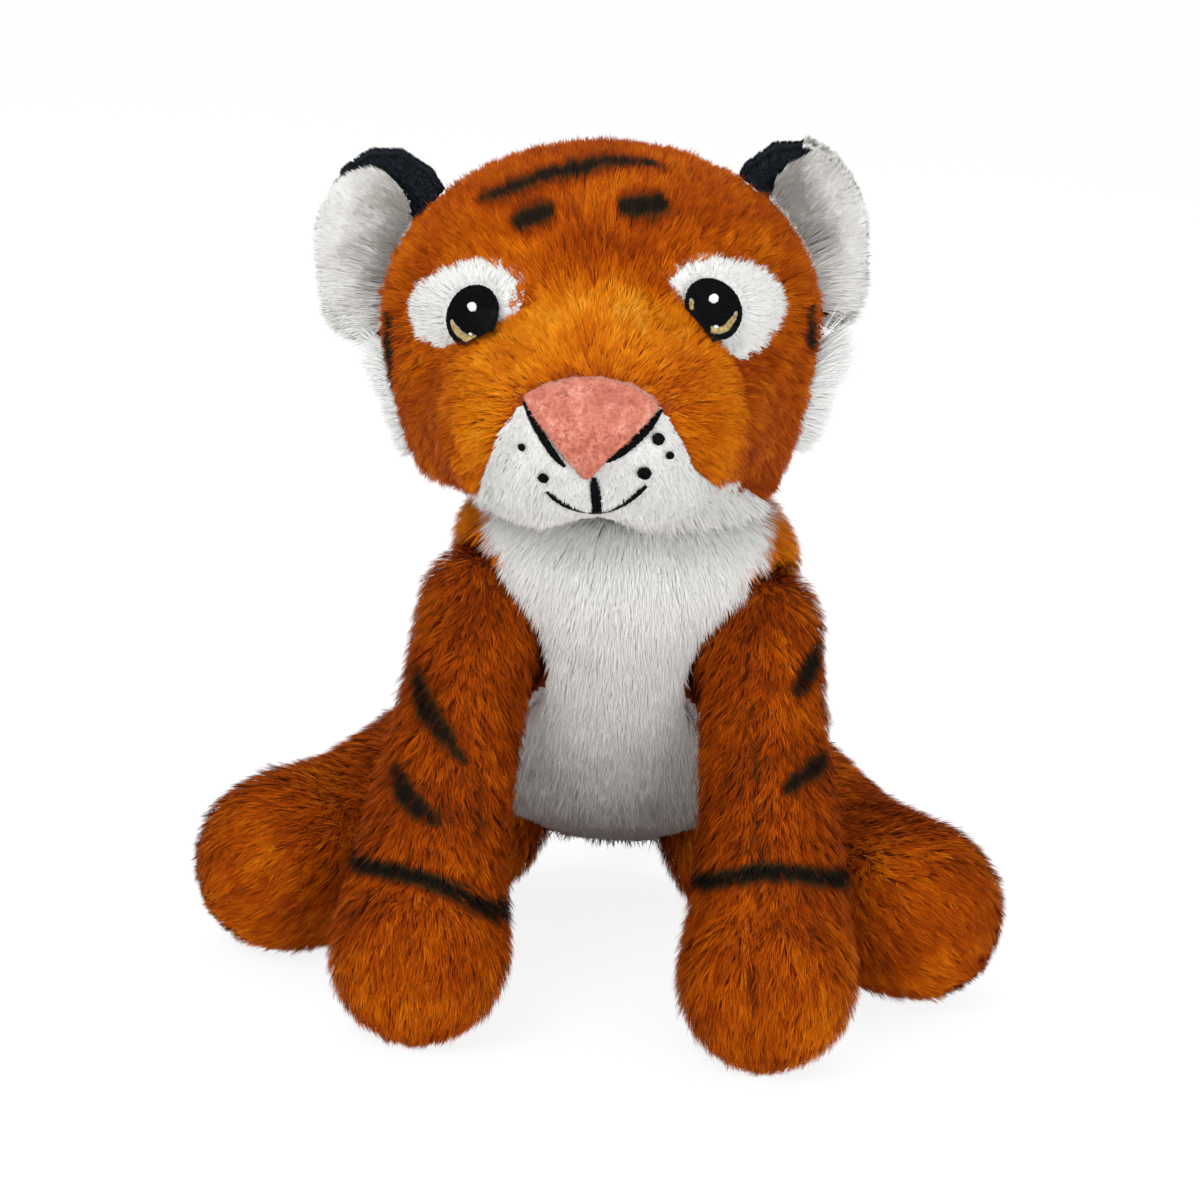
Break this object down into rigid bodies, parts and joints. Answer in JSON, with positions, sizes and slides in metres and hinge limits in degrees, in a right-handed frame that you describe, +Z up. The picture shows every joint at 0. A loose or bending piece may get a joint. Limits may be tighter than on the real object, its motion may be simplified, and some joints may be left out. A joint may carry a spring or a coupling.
{
  "type": "plush tiger",
  "caption": "Sitting plush tiger with orange striped fur, a white chest and muzzle, embroidered eyes and a felt nose.",
  "frame": {"origin": "on the floor, at the middle of the bounding box's underside", "axes": "-Y is where the face looks, +Z is up and +X is the viewer's right"},
  "size_m": [0.2294, 0.211, 0.2383],
  "materials": {
    "orange_plush": "long brushed pile with dark stripes",
    "white_plush": "short brushed pile",
    "dark_plush": "short brushed pile",
    "pink_felt": "matt felt",
    "black_thread": "satin stitch",
    "gold_thread": "satin stitch",
    "white_thread": "satin stitch",
    "sewing_thread": "hand-sewn thread",
    "fibre_filling": "loose polyester fibre",
    "cotton": "plain woven bag of plastic pellets"
  },
  "bodies": {
    "torso": {"torso_skin": "orange_plush", "torso_stuffing": "fibre_filling", "chest_panel": "white_plush", "pellet_bag": "cotton", "closing_seam": "sewing_thread"},
    "head": {"head_skin": "orange_plush", "head_stuffing": "fibre_filling", "chin_panel": "white_plush", "cheek_ruff_left": "white_plush", "cheek_ruff_right": "white_plush", "eye_patch_left": "white_plush", "eye_patch_right": "white_plush", "ear_front_left": "white_plush", "ear_front_right": "white_plush", "eye_left": "black_thread", "eye_right": "black_thread", "nose_line_left": "black_thread", "nose_line_right": "black_thread", "lip_line": "black_thread", "smile_line": "black_thread", "whisker_dot_left_upper": "black_thread", "whisker_dot_left_lower": "black_thread", "whisker_dot_right_upper": "black_thread", "whisker_dot_right_middle": "black_thread", "whisker_dot_right_lower": "black_thread", "eye_iris_left": "gold_thread", "eye_iris_right": "gold_thread", "eye_glint_left": "white_thread", "eye_glint_right": "white_thread", "ear_back_left": "dark_plush", "ear_back_right": "dark_plush", "nose": "pink_felt"},
    "front_leg_left": {"front_leg_left_skin": "orange_plush", "front_leg_left_stuffing": "fibre_filling"},
    "front_leg_right": {"front_leg_right_skin": "orange_plush", "front_leg_right_stuffing": "fibre_filling"},
    "hind_leg_left": {"hind_leg_left_skin": "orange_plush", "hind_leg_left_stuffing": "fibre_filling"},
    "hind_leg_right": {"hind_leg_right_skin": "orange_plush", "hind_leg_right_stuffing": "fibre_filling"},
    "tail": {"tail_skin": "orange_plush", "tail_stuffing": "fibre_filling"}
  },
  "joints": [
    {"name": "head_turn", "type": "hinge", "parent": "torso", "child": "head", "pos_m": [-0.0075, -0.012, 0.14], "axis": [0, 0, 1], "range_deg": [-30, 30], "stiffness_Nm_per_rad": 1},
    {"name": "shoulder_left", "type": "hinge", "parent": "torso", "child": "front_leg_left", "pos_m": [-0.038, -0.02, 0.104], "axis": [-1, 0, 0], "range_deg": [0, 25], "stiffness_Nm_per_rad": 4},
    {"name": "shoulder_right", "type": "hinge", "parent": "torso", "child": "front_leg_right", "pos_m": [0.038, -0.02, 0.104], "axis": [-1, 0, 0], "range_deg": [0, 25], "stiffness_Nm_per_rad": 4},
    {"name": "hip_left", "type": "hinge", "parent": "torso", "child": "hind_leg_left", "pos_m": [-0.047, 0.024, 0.032], "axis": [0, 0, -1], "range_deg": [0, 20], "stiffness_Nm_per_rad": 2},
    {"name": "hip_right", "type": "hinge", "parent": "torso", "child": "hind_leg_right", "pos_m": [0.047, 0.024, 0.032], "axis": [0, 0, 1], "range_deg": [0, 20], "stiffness_Nm_per_rad": 2},
    {"name": "tail_swing", "type": "hinge", "parent": "torso", "child": "tail", "pos_m": [0, 0.073, 0.043], "axis": [0, 0, 1], "range_deg": [-10, 20], "stiffness_Nm_per_rad": 0.2}
  ]
}
